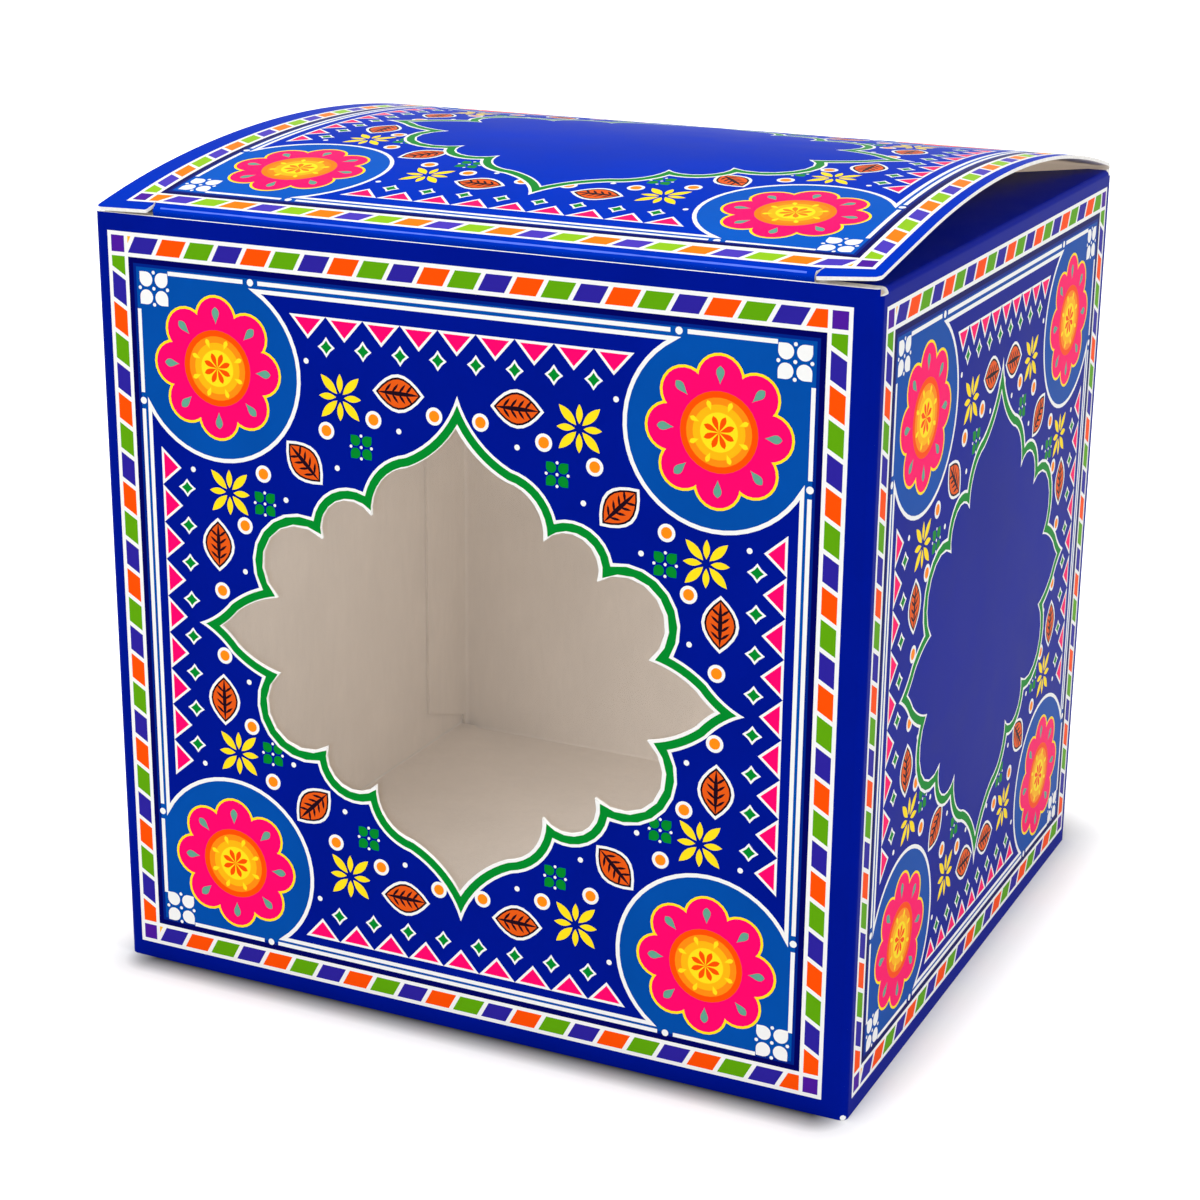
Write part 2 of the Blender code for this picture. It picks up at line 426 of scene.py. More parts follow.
def bearing(centre, point):
    return math.atan2(point.y - centre.y, point.x - centre.x)


def disc(x, y, radius, steps=20):
    return [polar(x, y, radius, math.tau * i / steps) for i in range(steps)]


def moved(shape, x, y, turn=0.0, mirror=(1, 1)):
    c, s = math.cos(turn), math.sin(turn)
    return [(x + mirror[0] * (c * a - s * b), y + mirror[1] * (s * a + c * b)) for a, b in shape]


def swapped(shape, swap):
    """The shape with x and y swapped, where swap is true."""
    return [(y, x) for x, y in shape] if swap else shape


def lens(length, width, steps=8):
    """Pointed oval along x, about its middle."""
    fullness = 0.9
    half, rise = length / 2, width / 2
    upper = []
    for i in range(steps + 1):
        upper.append((-half + length * i / steps, rise * math.sin(math.pi * i / steps) ** fullness))
    return upper + [(x, -y) for x, y in upper[-2:0:-1]]


def drop(length, width, steps=10):
    """Petal from a point at the origin to a round end along x."""
    fullness = 0.8
    end_weight = 1.7
    side = []
    for i in range(steps + 1):
        t = i / steps
        side.append((length * t, width / 2 * math.sin(math.pi * t**end_weight) ** fullness))
    return side + [(x, -y) for x, y in side[-2:0:-1]]


def signed_area(shape):
    following = shape[1:] + shape[:1]
    return sum(a[0] * b[1] - b[0] * a[1] for a, b in zip(shape, following)) / 2


def inset(shape, distance):
    """The outline moved inwards all round by a small distance, with pointed corners. Negative grows it."""
    sharpest = 0.08
    sign = 1 if signed_area(shape) > 0 else -1
    result = []
    for i, here in enumerate(shape):
        before, after = Vector(shape[i - 1]), Vector(shape[(i + 1) % len(shape)])
        here = Vector(here)
        d1, d2 = (here - before).normalized(), (after - here).normalized()
        middle = sign * d1.orthogonal() + sign * d2.orthogonal()
        reach = distance / max(middle.length_squared / 2, sharpest)
        result.append(here + middle * reach)
    return result


def clipped(shape, low, high):
    """The part of a convex shape between two limits of x."""
    for limit, keep in ((low, 1), (high, -1)):
        result = []
        for last, here in zip(shape[-1:] + shape[:-1], shape):
            inside = keep * (here[0] - limit) >= 0
            was_inside = keep * (last[0] - limit) >= 0
            if inside != was_inside:
                share = (limit - last[0]) / (here[0] - last[0])
                result.append(tuple(a + (b - a) * share for a, b in zip(last, here)))
            if inside:
                result.append(here)
        shape = result
    return shape


def arc_circle(start, middle, end):
    """Centre and radius of the circle through three points."""
    (ax, ay), (bx, by), (cx, cy) = start, middle, end
    d = 2 * (ax * (by - cy) + bx * (cy - ay) + cx * (ay - by))
    a2, b2, c2 = ax**2 + ay**2, bx**2 + by**2, cx**2 + cy**2
    ox = (a2 * (by - cy) + b2 * (cy - ay) + c2 * (ay - by)) / d
    oy = (a2 * (cx - bx) + b2 * (ax - cx) + c2 * (bx - ax)) / d
    return Vector((ox, oy)), math.hypot(ax - ox, ay - oy)


def meeting(first, second, near):
    """Where two circles meet or only touch, nearest to a point."""
    (p, r), (q, s) = first, second
    gap = q - p
    d = gap.length
    along = (d * d + r * r - s * s) / (2 * d)
    base = p + gap * (along / d)
    side = gap.orthogonal() * (math.sqrt(max(r * r - along * along, 0)) / d)
    return min((base + side, base - side), key=lambda m: (m - near).length)


def cartouche(half_x, half_y, grow):
    """The ogee and its lobes, drawn outwards by a distance, from the same arcs as the window."""
    shares = [window_start_shares] + [p for pair in window_arc_shares for p in pair]
    points = [Vector((x * half_x, y * half_y)) for x, y in shares]
    circles, ways = [], []
    for i in range(0, len(points) - 1, 2):
        a, m, b = points[i : i + 3]
        centre, radius = arc_circle(a, m, b)
        ways.append(-1 if (m - a).cross(b - m) < 0 else 1)
        circles.append((centre, radius - ways[-1] * grow))
    centre, radius = circles[0]
    top = Vector((0, centre.y + math.copysign(math.sqrt(radius**2 - centre.x**2), half_y - centre.y)))
    centre, radius = circles[-1]
    side = Vector((centre.x + math.copysign(math.sqrt(radius**2 - centre.y**2), half_x - centre.x), 0))
    joints = [top, *map(meeting, circles, circles[1:], points[2::2]), side]
    quarter = [top]
    for (centre, radius), way, a, b in zip(circles, ways, joints, joints[1:]):
        first = bearing(centre, a)
        turn = way * ((way * (bearing(centre, b) - first)) % math.tau)
        for i in range(1, arc_steps + 1):
            quarter.append(polar(*centre, radius, first + turn * i / arc_steps))
    half = quarter + [(x, -y) for x, y in quarter[-2::-1]]
    return half + [(-x, y) for x, y in half[-2:0:-1]]


# Print, as layers of (ink, shape) from the lowest to the topmost
QUARTERS = ((1, 1), (-1, 1), (-1, -1), (1, -1))
STRIPE_INKS = ("indigo", "orange", "green")
# The lid's print swaps these inks for their lighter lid_ copies, which paint in the brighter light on its
# top
LIT_LID_INKS = {name: "lid_" + name for name in (*STRIPE_INKS, "mid")}

# Places of the field's motifs in each quarter, as insets from the print's outer edge
CORNER_LEAF = (27.4, 25.3)
LEVEL_LEAF = (40.6, 15.2)
UPRIGHT_LEAF = (14.55, 37.5)
STARS = ((32.6, 16.6), (16.45, 30.5))
SPRIGS = ((35.4, 22.4), (21.55, 31.3))
RINGED_DOTS = ((37.15, 18.8), (45.4, 17.4), (30.6, 20.9), (21.45, 27.5), (18.55, 34.5), (14.85, 43.5))
SMALL_DOTS = ((28.0, 12.6), (40.6, 19.8), (11.2, 28.2), (24.6, 30.4), (32.0, 25.4), (18.35, 40.5))


def both_ways(border, halves):
    """A border's layers along the level sides and, with x and y swapped, along the upright ones."""
    layers = []
    for along in (0, 1):
        layers += [(name, swapped(shape, along)) for name, shape in border(halves, along, 1 - along)]
    return layers


def stripes(halves, along, across):
    """Slanted stripes along two sides. The first one on a level side is golden."""
    layers = []
    pitch = stripe_pitches[along]
    bar = pitch - stripe_gap
    limit = halves[along] - border_line * 2 - stripe_bands[along]
    outer = halves[across] - border_line
    inner = outer - stripe_bands[across]
    way = -1 if along else 1
    slant = way * stripe_slant
    for side in (1, -1):
        low, high = sorted((side * outer, side * inner))
        start, k = (limit - first_stripe + bar, 2) if along else (-limit - pitch, -1)
        while way * start < limit:
            far = start + way * bar
            cell = [(start, low), (far, low), (far + slant, high), (start + slant, high)]
            cell = clipped(cell, -limit, limit)
            if len(cell) > 2:
                layers.append(("gold" if k == -1 else STRIPE_INKS[k % 3], cell))
            start += way * pitch
            k += 1
    return layers


def striped_border(halves):
    """White ground with the stripes on it and a square at each corner."""
    ends = [half - border_line for half in halves]
    square = box_shape(ends[0] - stripe_bands[0], ends[1] - stripe_bands[1], *ends)
    squares = [("purple", moved(square, 0, 0, 0, corner)) for corner in QUARTERS]
    return [("white", centred(*halves))] + both_ways(stripes, halves) + squares


def inset_point(halves, corner, insets, drop):
    return Vector((corner[0] * (halves[0] - insets[0]), corner[1] * (halves[1] - insets[1]) - drop))


def field_outline(halves):
    """Edge of the inner field: a rectangle with a bay round each corner medallion."""
    outline = []
    for i, (sx, sy) in enumerate(((1, 1), (1, -1), (-1, -1), (-1, 1))):
        centre = inset_point(halves, (sx, sy), medallion_inset, content_drop)
        corner = inset_point(halves, (sx, sy), inner_line_inset, inner_line_drop)
        rise, run = corner.y - centre.y, corner.x - centre.x
        first = math.atan2(rise, -sx * math.sqrt(medallion_radius**2 - rise**2))
        last = math.atan2(-sy * math.sqrt(medallion_radius**2 - run**2), run)
        turn = (last - first) % math.tau
        turn = turn if sx * sy > 0 else turn - math.tau
        angles = [first + turn * k / bay_steps for k in range(bay_steps + 1)]
        bay = [centre + medallion_radius * Vector((math.cos(a), math.sin(a))) for a in angles]
        outline += bay[::-1] if i % 2 else bay
    return outline


def outer_lines(halves, along, across):
    """Thin lines along two sides, broken by a dot near each end."""
    layers = []
    dot_at = halves[along] - line_dot_inset[along]
    start = halves[along] - line_start_inset
    shift = content_drop if along else 0
    level_shift = outer_line_drop if across else 0
    spans = [(-start, -dot_at - line_dot_gap), (line_dot_gap - dot_at, dot_at - line_dot_gap)]
    spans.append((dot_at + line_dot_gap, start))
    for side in (1, -1):
        level = side * (halves[across] - outer_line_inset[across]) - level_shift
        low, high = level - line_width / 2, level + line_width / 2
        layers += [("white", box_shape(a - shift, low, b - shift, high)) for a, b in spans]
        layers += [("white", disc(x - shift, level, line_dot_radius, steps=12)) for x in (dot_at, -dot_at)]
    return layers


def cornered(radius):
    """Round petal with one square corner, which points along x from the middle."""
    steps = 14
    corner_share = 0.97
    turns = [math.pi / 4 + 1.5 * math.pi * i / steps for i in range(steps + 1)]
    tip = (radius * math.sqrt(2) * corner_share, 0)
    return [(radius * math.cos(a), radius * math.sin(a)) for a in turns] + [tip]


def knot(x, y, radius, petal_ink, tip_radius):
    """Four cornered petals with small white dots between them."""
    petal_share, dot_share = 1.68, 2.14
    petal_reach = radius * petal_share
    dot_reach = radius * dot_share
    layers = []
    for i in range(4):
        turn = math.pi / 4 + half_pi * i
        petal = moved(cornered(radius), petal_reach * math.cos(turn), petal_reach * math.sin(turn), turn)
        layers.append((petal_ink, moved(petal, x, y)))
        layers.append(("white", disc(*polar(x, y, dot_reach, half_pi * i), tip_radius, steps=8)))
    layers.append(("white", disc(x, y, tip_radius, steps=8)))
    return layers


def rosette(x, y):
    """Plain round flower of eight petals about a golden eye, from its edge inwards."""
    petals = 8
    petal_reach = 6.1
    petal_inks = (("yellow", 3.0, 7.0), ("pink", 2.68, 6.9))
    eye_rings = (("orange", 4.75), ("dot", 4.0), ("gold", 3.2), ("yellow", 2.3))
    sage_reach, glint_reach = 5.5, 2.6
    sage_size, ray_size, glint_size = (2.1, 1.0), (2.0, 0.7), (1.25, 0.6)
    turns = [math.tau * i / petals for i in range(petals)]
    layers = []
    for name, petal_radius, middle_radius in petal_inks:
        layers += [(name, disc(*polar(x, y, petal_reach, a), petal_radius, steps=24)) for a in turns]
        layers.append((name, disc(x, y, middle_radius, steps=40)))
    layers += [("sage", moved(drop(*sage_size), *polar(x, y, sage_reach, a), a)) for a in turns]
    layers += [(name, disc(x, y, radius, steps=32)) for name, radius in eye_rings]
    for a in turns:
        turn = a + math.pi / petals
        layers.append(("orange", moved(drop(*ray_size, steps=6), x, y, turn)))
        layers.append(("yellow", moved(drop(*glint_size, steps=6), *polar(x, y, glint_reach, turn), turn)))
    return layers


def leaf(x, y, turn):
    """Leaf with a white edge, a dark outline, a dark rib and short veins."""
    length, width = 7.0, 4.7
    rib_width = 0.55
    veins = 4
    first_vein, vein_pitch = -1.9, 0.95
    vein_length, vein_width = 1.5, 0.34
    vein_reach = (0.5, 0.6)
    vein_turn = 0.9
    outline_inset, face_inset, rib_inset = (0.9, 0.75), (1.5, 1.25), 1.2
    layers = [("white", lens(length, width))]
    for name, (along, across) in (("dark", outline_inset), ("leaf", face_inset)):
        layers.append((name, lens(length - along, width - across)))
    layers.append(("dark", lens(length - rib_inset, rib_width, steps=6)))
    for k in range(veins):
        start = first_vein + vein_pitch * k
        for side in (1, -1):
            vein = lens(vein_length, vein_width, steps=4)
            place = (start + vein_reach[0], side * vein_reach[1])
            layers.append(("dark", moved(vein, *place, side * vein_turn)))
    return shifted(layers, x, y, turn)


def star(x, y):
    """Eight pointed petals, every second one longer."""
    petals = 8
    hollow = 0.55
    sizes = ((2.9, 0.85), (3.7, 1.1))
    layers = []
    for i in range(petals):
        turn = math.tau * i / petals
        length, width = sizes[i % 2]
        petal = lens(length - hollow, width, steps=6)
        layers.append(("yellow", moved(petal, *polar(x, y, (hollow + length) / 2, turn), turn)))
    return layers


def ringed_dot(x, y):
    ring_radius, dot_radius = 1.1, 0.7
    return [("white", disc(x, y, ring_radius)), ("dot", disc(x, y, dot_radius, steps=16))]


def field_motifs(halves):
    """Leaves, stars, sprigs and dots about the corners, placed by their insets from the print's edge."""
    layers = []
    for corner in QUARTERS:
        def at(insets):
            return tuple(inset_point(halves, corner, insets, content_drop))

        layers += leaf(*at(CORNER_LEAF), math.atan2(corner[1], corner[0]))
        layers += leaf(*at(LEVEL_LEAF), 0)
        layers += leaf(*at(UPRIGHT_LEAF), half_pi)
        for place in STARS:
            layers += star(*at(place))
        for place in SPRIGS:
            layers += knot(*at(place), sprig_petal, "line_green", sprig_tip)
        for place in RINGED_DOTS:
            layers += ringed_dot(*at(place))
        for place in SMALL_DOTS:
            layers.append(("white", disc(*at(place), small_dot_radius, steps=10)))
    return layers


def diamond(x, y, reach):
    """Four points with slightly hollow sides."""
    hollow_share, width_share = 0.42, 0.94
    hollow = reach * hollow_share
    points = [(reach * width_share, 0), (hollow, hollow), (0, reach), (-hollow, hollow)]
    return [(x + a, y + b) for a, b in points + [(-a, -b) for a, b in points]]


def rows(halves, along, across):
    """A saw-tooth row and a row of diamonds along two sides."""
    layers = []
    run = halves[along] - row_end_inset
    pitch = 2 * run / triangle_count
    for side in (1, -1):
        base = side * (halves[across] - triangle_inset[across])
        for i in range(triangle_count):
            x = -run + pitch * i
            tooth = [(x, base), (x + pitch, base), (x + pitch / 2, base - side * triangle_height)]
            layers += [("white", tooth), ("pink", inset(tooth, triangle_edge))]
            if i:
                y = side * (halves[across] - diamond_inset[across])
                layers.append(("white", diamond(x, y, diamond_reach)))
                layers.append(("line_green", diamond(x, y, diamond_core_reach)))
    return layers


def face_print(halves, open_window, ground, cartouche_drop):
    """The whole print of one face, about the print's own middle."""
    inner_x, inner_y = (half - 2 * border_line - band for half, band in zip(halves, stripe_bands))
    layers = striped_border(halves)
    for name, step in (("navy", 0), ("shade", navy_line), ("mid", navy_line + shade_line)):
        layers.append((name, centred(inner_x - step, inner_y - step)))
    field = field_outline(halves)
    layers.append(("white", inset(field, -line_width / 2)))
    layers.append((ground, inset(field, line_width / 2)))
    layers += both_ways(outer_lines, halves)
    for corner in QUARTERS:
        place = inset_point(halves, corner, knot_inset, inner_line_drop)
        layers += knot(*place, knot_petal, "white", knot_tip)
        place = inset_point(halves, corner, medallion_inset, content_drop)
        layers += rosette(*place)
    layers += shifted(both_ways(rows, halves), 0, -content_drop)
    layers += field_motifs(halves)
    wide = window_half_width * halves[0] / print_half_x
    tall = window_half_height * halves[1] / print_half_z
    frame_inks = ("white", "line_green", "white") + (() if open_window else (ground,))
    for name, grow in zip(frame_inks, (*cartouche_lines, 0)):
        layers.append((name, moved(cartouche(wide, tall, grow), 0, -cartouche_drop)))
    return layers


def shifted(layers, *place):
    return [(name, moved(shape, *place)) for name, shape in layers]


# Sheets of board
def triangulated(outline, holes, layers, lines):
    """Triangles of a flat sheet, cut along its print and its bend lines, and the ink on each."""
    points, edges, faces = [], [], []

    def add(shape, cuts):
        cuts.append(list(range(len(points), len(points) + len(shape))))
        points.extend(Vector(p) for p in (shape if signed_area(shape) > 0 else shape[::-1]))

    for shape in [outline, *holes, *(shape for _, shape in layers)]:
        add(shape, faces)
    for line in lines:
        add(line, edges)
    first_print = 1 + len(holes)
    cut = geometry.delaunay_2d_cdt(points, edges, faces, 0, cut_tolerance, True)
    flat, _, triangles, _, _, sources = cut
    kept, inks = [], []
    for triangle, source in zip(triangles, sources):
        if 0 not in source or any(0 < s < first_print for s in source):
            continue
        top = max(source)
        kept.append(triangle)
        inks.append(layers[top - first_print][0] if top >= first_print else None)
    return flat, kept, inks


def boundary(triangles):
    """Edges that only one triangle has, in its own direction."""
    seen = set()
    for a, b, c in triangles:
        seen.update(((a, b), (b, c), (c, a)))
    return [(a, b) for a, b in seen if (b, a) not in seen]


def sheet(name, place, outline, holes=(), layers=(), lines=(), ground="royal", edge="edge"):
    """A piece of board: print on the outside, bare board inside and white cut edges.
    place gives the outer surface's point and normal in millimetres for a point of the flat blank."""
    names = [ground, "inside", edge] + sorted({n for n, _ in layers} - {ground})
    edge_slot = 2
    points, normals, faces, slots = [], [], [], []

    def corner(point, normal):
        points.append(point * MM)
        normals.append(normal)
        return len(points) - 1

    def add_side(flat, triangles, inks, depth, way):
        """One side of the board, at a depth behind its outer surface."""
        placed = [[Vector(v) for v in place(*p)] for p in flat]
        a, b, c = (placed[i][0] for i in triangles[0])
        flipped = (b - a).cross(c - a).dot(placed[triangles[0][0]][1]) < 0
        ids = {}
        for i in sorted({i for t in triangles for i in t}):
            point, normal = placed[i]
            ids[i] = corner(point - normal * depth, normal * way)
        for triangle, colour in zip(triangles, inks):
            face = [ids[i] for i in triangle]
            faces.append(face[::-1] if flipped == (way > 0) else face)
            slots.append(names.index(colour or ground))
        return placed, flipped

    flat, triangles, inks = triangulated(outline, holes, layers, lines)
    placed, flipped = add_side(flat, triangles, inks, 0, 1)
    flat, backs, _ = triangulated(outline, holes, (), lines)
    add_side(flat, backs, ["inside"] * len(backs), board, -1)
    for i, j in boundary(triangles):
        (p, n), (q, m) = placed[i], placed[j]
        ring = [p, q, q - m * board, p - n * board]
        side = (q - p).cross(ring[2] - p).normalized() * (1 if flipped else -1)
        ids = [corner(v, side) for v in ring]
        faces.append(ids if flipped else ids[::-1])
        slots.append(edge_slot)
    return finished(name, points, normals, faces, slots, names)


def added(name, data):
    """A new object in the scene."""
    item = bpy.data.objects.new(name, data)
    bpy.context.scene.collection.objects.link(item)
    return item


def finished(name, points, normals, faces, slots, names):
    mesh = bpy.data.meshes.new(name)
    mesh.from_pydata(points, [], faces)
    for material in names:
        mesh.materials.append(INKS[material])
    mesh.polygons.foreach_set("material_index", slots)
    mesh.polygons.foreach_set("use_smooth", [True] * len(faces))
    mesh.normals_split_custom_set_from_vertices(normals)
    mesh.update()
    return added(name, mesh)


# Walls: u runs to the right as seen from outside, v is the height
def wall_place(normal, along, distance, low_flat, high_flat):
    outward, right = Vector(normal), Vector(along)

    def place(u, v):
        sign, flat = (1, high_flat) if u > 0 else (-1, low_flat)
        turn = max(abs(u) - abs(flat), 0) / corner_radius
        way = math.cos(turn) * outward + math.sin(turn) * sign * right
        run = min(u, flat) if u > 0 else max(u, flat)
        point = outward * (distance - corner_radius) + right * run + way * corner_radius
        return (point.x, point.y, v), (way.x, way.y, 0)

    return place


def cross_lines(low, high, levels):
    """Bend lines right across a sheet, each a little longer than the sheet is wide."""
    return [[(low - line_overrun, v), (high + line_overrun, v)] for v in levels]


def bend_lines(flat, low, high):
    """Upright lines across a bend that starts at the flat's end."""
    reach = math.copysign(corner_reach, flat)
    steps = [flat + reach * i / bend_steps for i in range(bend_steps)]
    return [swapped(line, True) for line in cross_lines(low, high, steps)]


def panel(node, body, place, outline, slot="printed_board", **details):
    """A sheet of board in the place of a CAD node, with the sheet's print, cuts and bends as details."""
    piece = sheet(node + "_board", place, outline, **details)
    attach(piece, body)
    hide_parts(node)


def wall(name, normal, distance, flats, levels, layers, holes=(), bent_start=True):
    """A wall from its flat part's two ends and its two levels, with half a corner bend at each end, or
    only at the far one."""
    (low_flat, high_flat), (low, high) = flats, levels
    left = low_flat - (corner_reach if bent_start else 0)
    lines = bend_lines(low_flat, low, high) if bent_start else []
    lines += bend_lines(high_flat, low, high)
    outline = box_shape(left, low, high_flat + corner_reach, high)
    place = wall_place(normal, (-normal[1], normal[0]), distance, low_flat, high_flat)
    panel(name, "root", place, outline, holes=holes, layers=layers, lines=lines)


front_half = half_width - corner_radius
side_half = half_depth - corner_radius
side_wall_top = wall_height - fold_lift
print_shift_x = (print_margin_left - print_margin_right) / 2
print_middle_z = (wall_height + print_margin_bottom - print_margin_top) / 2
side_print_half = half_depth - side_print_margin


def walls():
    """The front wall has the window, and the left one ends flat over the glue flap."""
    window_drop = print_middle_z - window_centre_height
    window = moved(cartouche(window_half_width, window_half_height, 0), window_shift, window_centre_height)

    def printed(half_run, shift=0, open_window=False):
        layers = face_print((half_run, print_half_z), open_window, "royal", window_drop)
        return shifted(layers, shift, print_middle_z)

    speck_place = (front_half + corner_reach - front_speck_gap, front_speck * front_speck_rise_share)
    speck = disc(*speck_place, front_speck, speck_steps)
    front = printed(print_half_x, print_shift_x, True) + [("white", speck)]
    wall("front_wall", (0, -1), half_depth, (-front_half, front_half), (0, wall_height), front, [window])
    side = printed(side_print_half)
    side_levels = (0, side_wall_top)
    side_speck = front_speck * side_speck_share
    speck = disc(-side_half - corner_reach, side_speck, side_speck, speck_steps)
    right = side + [("white", speck)]
    wall("right_wall", (1, 0), half_width, (-side_half, side_half), side_levels, right)
    flats = (-front_half, front_half - seam_lift)
    wall("back_wall", (0, 1), half_depth, flats, (fold_lift, wall_height), printed(print_half_x))
    flats = (seam_setback - half_depth, side_half)
    wall("left_wall", (-1, 0), half_width, flats, side_levels, side, bent_start=False)


def flat_place(origin, u_way, v_way, normal):
    start, right, up = Vector(origin), Vector(u_way), Vector(v_way)
    return lambda u, v: (start + right * u + up * v, normal)


def glue_flap():
    """Folded off the back wall and lying inside the left wall, its ends drawn in towards its free edge."""
    outer_x = half_width - seam_lift
    low, high = glue_flap_end_gap, side_wall_top - glue_flap_end_gap
    root_low, root_high = glue_flap_root_gap, side_wall_top - glue_flap_root_gap
    run = glue_flap_width - corner_radius
    draft = glue_flap_draft
    outline = [(corner_reach, root_low), (corner_reach, root_high), (0, root_high), (-board, high)]
    outline += [(-run, high - draft), (-run, low + draft), (-board, low), (0, root_low)]
    place = wall_place((-1, 0), (0, 1), outer_x, -run, 0)

    def shifted_place(u, v):
        (x, y, z), normal = place(u, v)
        return (x, y + side_half, z), normal

    lines = bend_lines(just_past_flat, root_low, root_high)
    panel("glue_flap", "root", shifted_place, outline, "plain_board", lines=lines, edge="inside")


# Lid: u is x, v runs forward along the arc from the crown
lid_radius = (half_depth**2 + lid_crown**2) / (2 * lid_crown)
lid_centre_z = lid_hinge_z + lid_crown - lid_radius
tuck_fold_y = -(half_depth - board - tuck_setback)
tuck_hinge_z = lid_centre_z + math.sqrt(lid_radius**2 - tuck_fold_y**2)
lid_half_width = half_width - lid_side_margin
slit_end = lid_half_width - slit_length
neck_half = slit_end - clearance
rear_slope = math.asin(half_depth / lid_radius)
rear_turn = half_pi - rear_slope
rear_fold_radius = fold_lift / math.tan(rear_turn / 2)
front_slope = math.asin(-tuck_fold_y / lid_radius)
tuck_turn = half_pi - front_slope + tuck_lean
tuck_tangent = tuck_fold_radius * math.tan(tuck_turn / 2)
lid_rear_v = -lid_radius * rear_slope + fold_lift
lid_front_v = lid_radius * rear_slope
lid_fold_v = lid_radius * front_slope - tuck_tangent


def lid_place(u, v):
    """The right ear stands a little proud, as the board springs, and the left one rests on the wall."""
    turn = v / lid_radius
    point = Vector((u, -lid_radius * math.sin(turn), lid_centre_z + lid_radius * math.cos(turn)))
    rise = 0
    for side, lift in ((1, ear_lift), (-1, -ear_rest)):
        corner_gap = math.hypot(u - side * lid_half_width, v - lid_front_v)
        beyond_slit = min(max((side * u - slit_end) / ear_root, 0), 1)
        rise += lift * beyond_slit * max(0, 1 - corner_gap / ear_lift_reach) ** 2
    return point + Vector((0, 0, rise)), Vector((0, -math.sin(turn), math.cos(turn)))


def lid_outline():
    """The lid's blank: two ears at the front, each cut from the fold by a slit with a short tail."""
    half_slit = slit_width / 2
    tail_v = lid_fold_v - slit_tail
    tail_x = slit_end + slit_tail_lean
    right = [
        (slit_end - slit_width, lid_fold_v),
        (slit_end - half_slit, lid_fold_v - slit_width),
        (tail_x - half_slit, tail_v),
        (tail_x, tail_v - half_slit),
        (tail_x + half_slit, tail_v),
        (slit_end + half_slit, lid_fold_v - slit_width),
        (slit_end + half_slit, lid_front_v - 2 * half_slit),
        (slit_end + 2 * half_slit, lid_front_v),
    ]
    for i in range(ear_corner_steps + 1):
        turn = half_pi * i / ear_corner_steps
        x = lid_half_width - ear_corner_radius * (1 - math.sin(turn))
        right.append((x, lid_front_v - ear_corner_radius * (1 - math.cos(turn))))
    right.append((lid_half_width, lid_rear_v))
    return right + [(-x, v) for x, v in right[::-1]]


def lid_panel():
    """The bowed lid. Its v runs forward, so its print is mirrored along x."""
    levels = [lid_rear_v + (lid_front_v - lid_rear_v) * i / lid_steps for i in range(1, lid_steps)]
    lines = cross_lines(-half_width, half_width, levels)
    layers = []
    # The lid uses the lighter lid_ inks: painted light for the brighter light on its top
    for name, shape in face_print((print_half_x, side_print_half), False, "lid_royal", 0):
        layers.append((LIT_LID_INKS.get(name, name), moved(shape, lid_print_shift, 0, 0, (-1, 1))))
    panel("lid_panel", "lid", lid_place, lid_outline(), layers=layers, lines=lines, ground="lid_royal")


def rounded(corners):
    """Outline whose corners are (x, y, radius), with an arc in place of each corner with a radius."""
    steps = 8
    outline = []
    for i, (x, y, radius) in enumerate(corners):
        here = Vector((x, y))
        if not radius:
            outline.append((x, y))
            continue
        to_last = (Vector(corners[i - 1][:2]) - here).normalized()
        to_next = (Vector(corners[(i + 1) % len(corners)][:2]) - here).normalized()
        half = to_last.angle(to_next) / 2
        centre = here + (to_last + to_next).normalized() * radius / math.sin(half)
        first, last = here + to_last * radius / math.tan(half), here + to_next * radius / math.tan(half)
        start = bearing(centre, first)
        turn = (bearing(centre, last) - start + math.pi) % math.tau - math.pi
        for k in range(steps + 1):
            outline.append(polar(*centre, radius, start + turn * k / steps))
    return outline


def tuck_outline(start):
    """v runs from the fold line towards the tip."""
    half = half_width - board - tuck_side_margin
    side = [(neck_half, start, 0), (neck_half, tuck_neck, 0), (half, tuck_neck, 0)]
    side += [(half - tuck_side_draft, tuck_height, tuck_corner_radius)]
    return rounded(side + [(-x, v, r) for x, v, r in side[::-1]])


def fold_strip(name, ends, centre, radius, first_normal, turn, axis, bodies, weights, **details):
    """A crease: a strip of board bent about a centre, from one body's edge to the other's.
    ends are its limits along the fold, and first_normal is the outer normal where it starts. weights is
    not used."""
    middle, outward, along = Vector(centre), Vector(first_normal), Vector(axis)
    length = radius * abs(turn)

    def place(u, v):
        way = Matrix.Rotation(turn * v / length, 3, along) @ outward
        return middle + along * u + way * radius, way

    levels = [length * i / bend_steps for i in range(1, bend_steps)]
    outline = box_shape(ends[0], 0, ends[1], length)
    piece = sheet(name, place, outline, lines=cross_lines(*ends, levels), **details)
    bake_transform(piece)


def painted_highlight_line(ends, level, width):
    """Ribbon of painted highlight along a fold, a little wider here and there."""
    steps = 60
    thinnest_share = 0.8
    slow_share, fast_share = 0.2, 0.12
    slow_wave, slower_wave, fast_wave = 3.1, 7.7, 1.9
    upper, lower = [], []
    for i in range(steps + 1):
        u = ends[0] + (ends[1] - ends[0]) * i / steps
        slow = slow_share * math.sin(u / slow_wave) * math.cos(u / slower_wave)
        half = width / 2 * (thinnest_share + slow + fast_share * math.sin(u * fast_wave))
        upper.append((u, level + half))
        lower.append((u, level - half))
    return lower + upper[::-1]


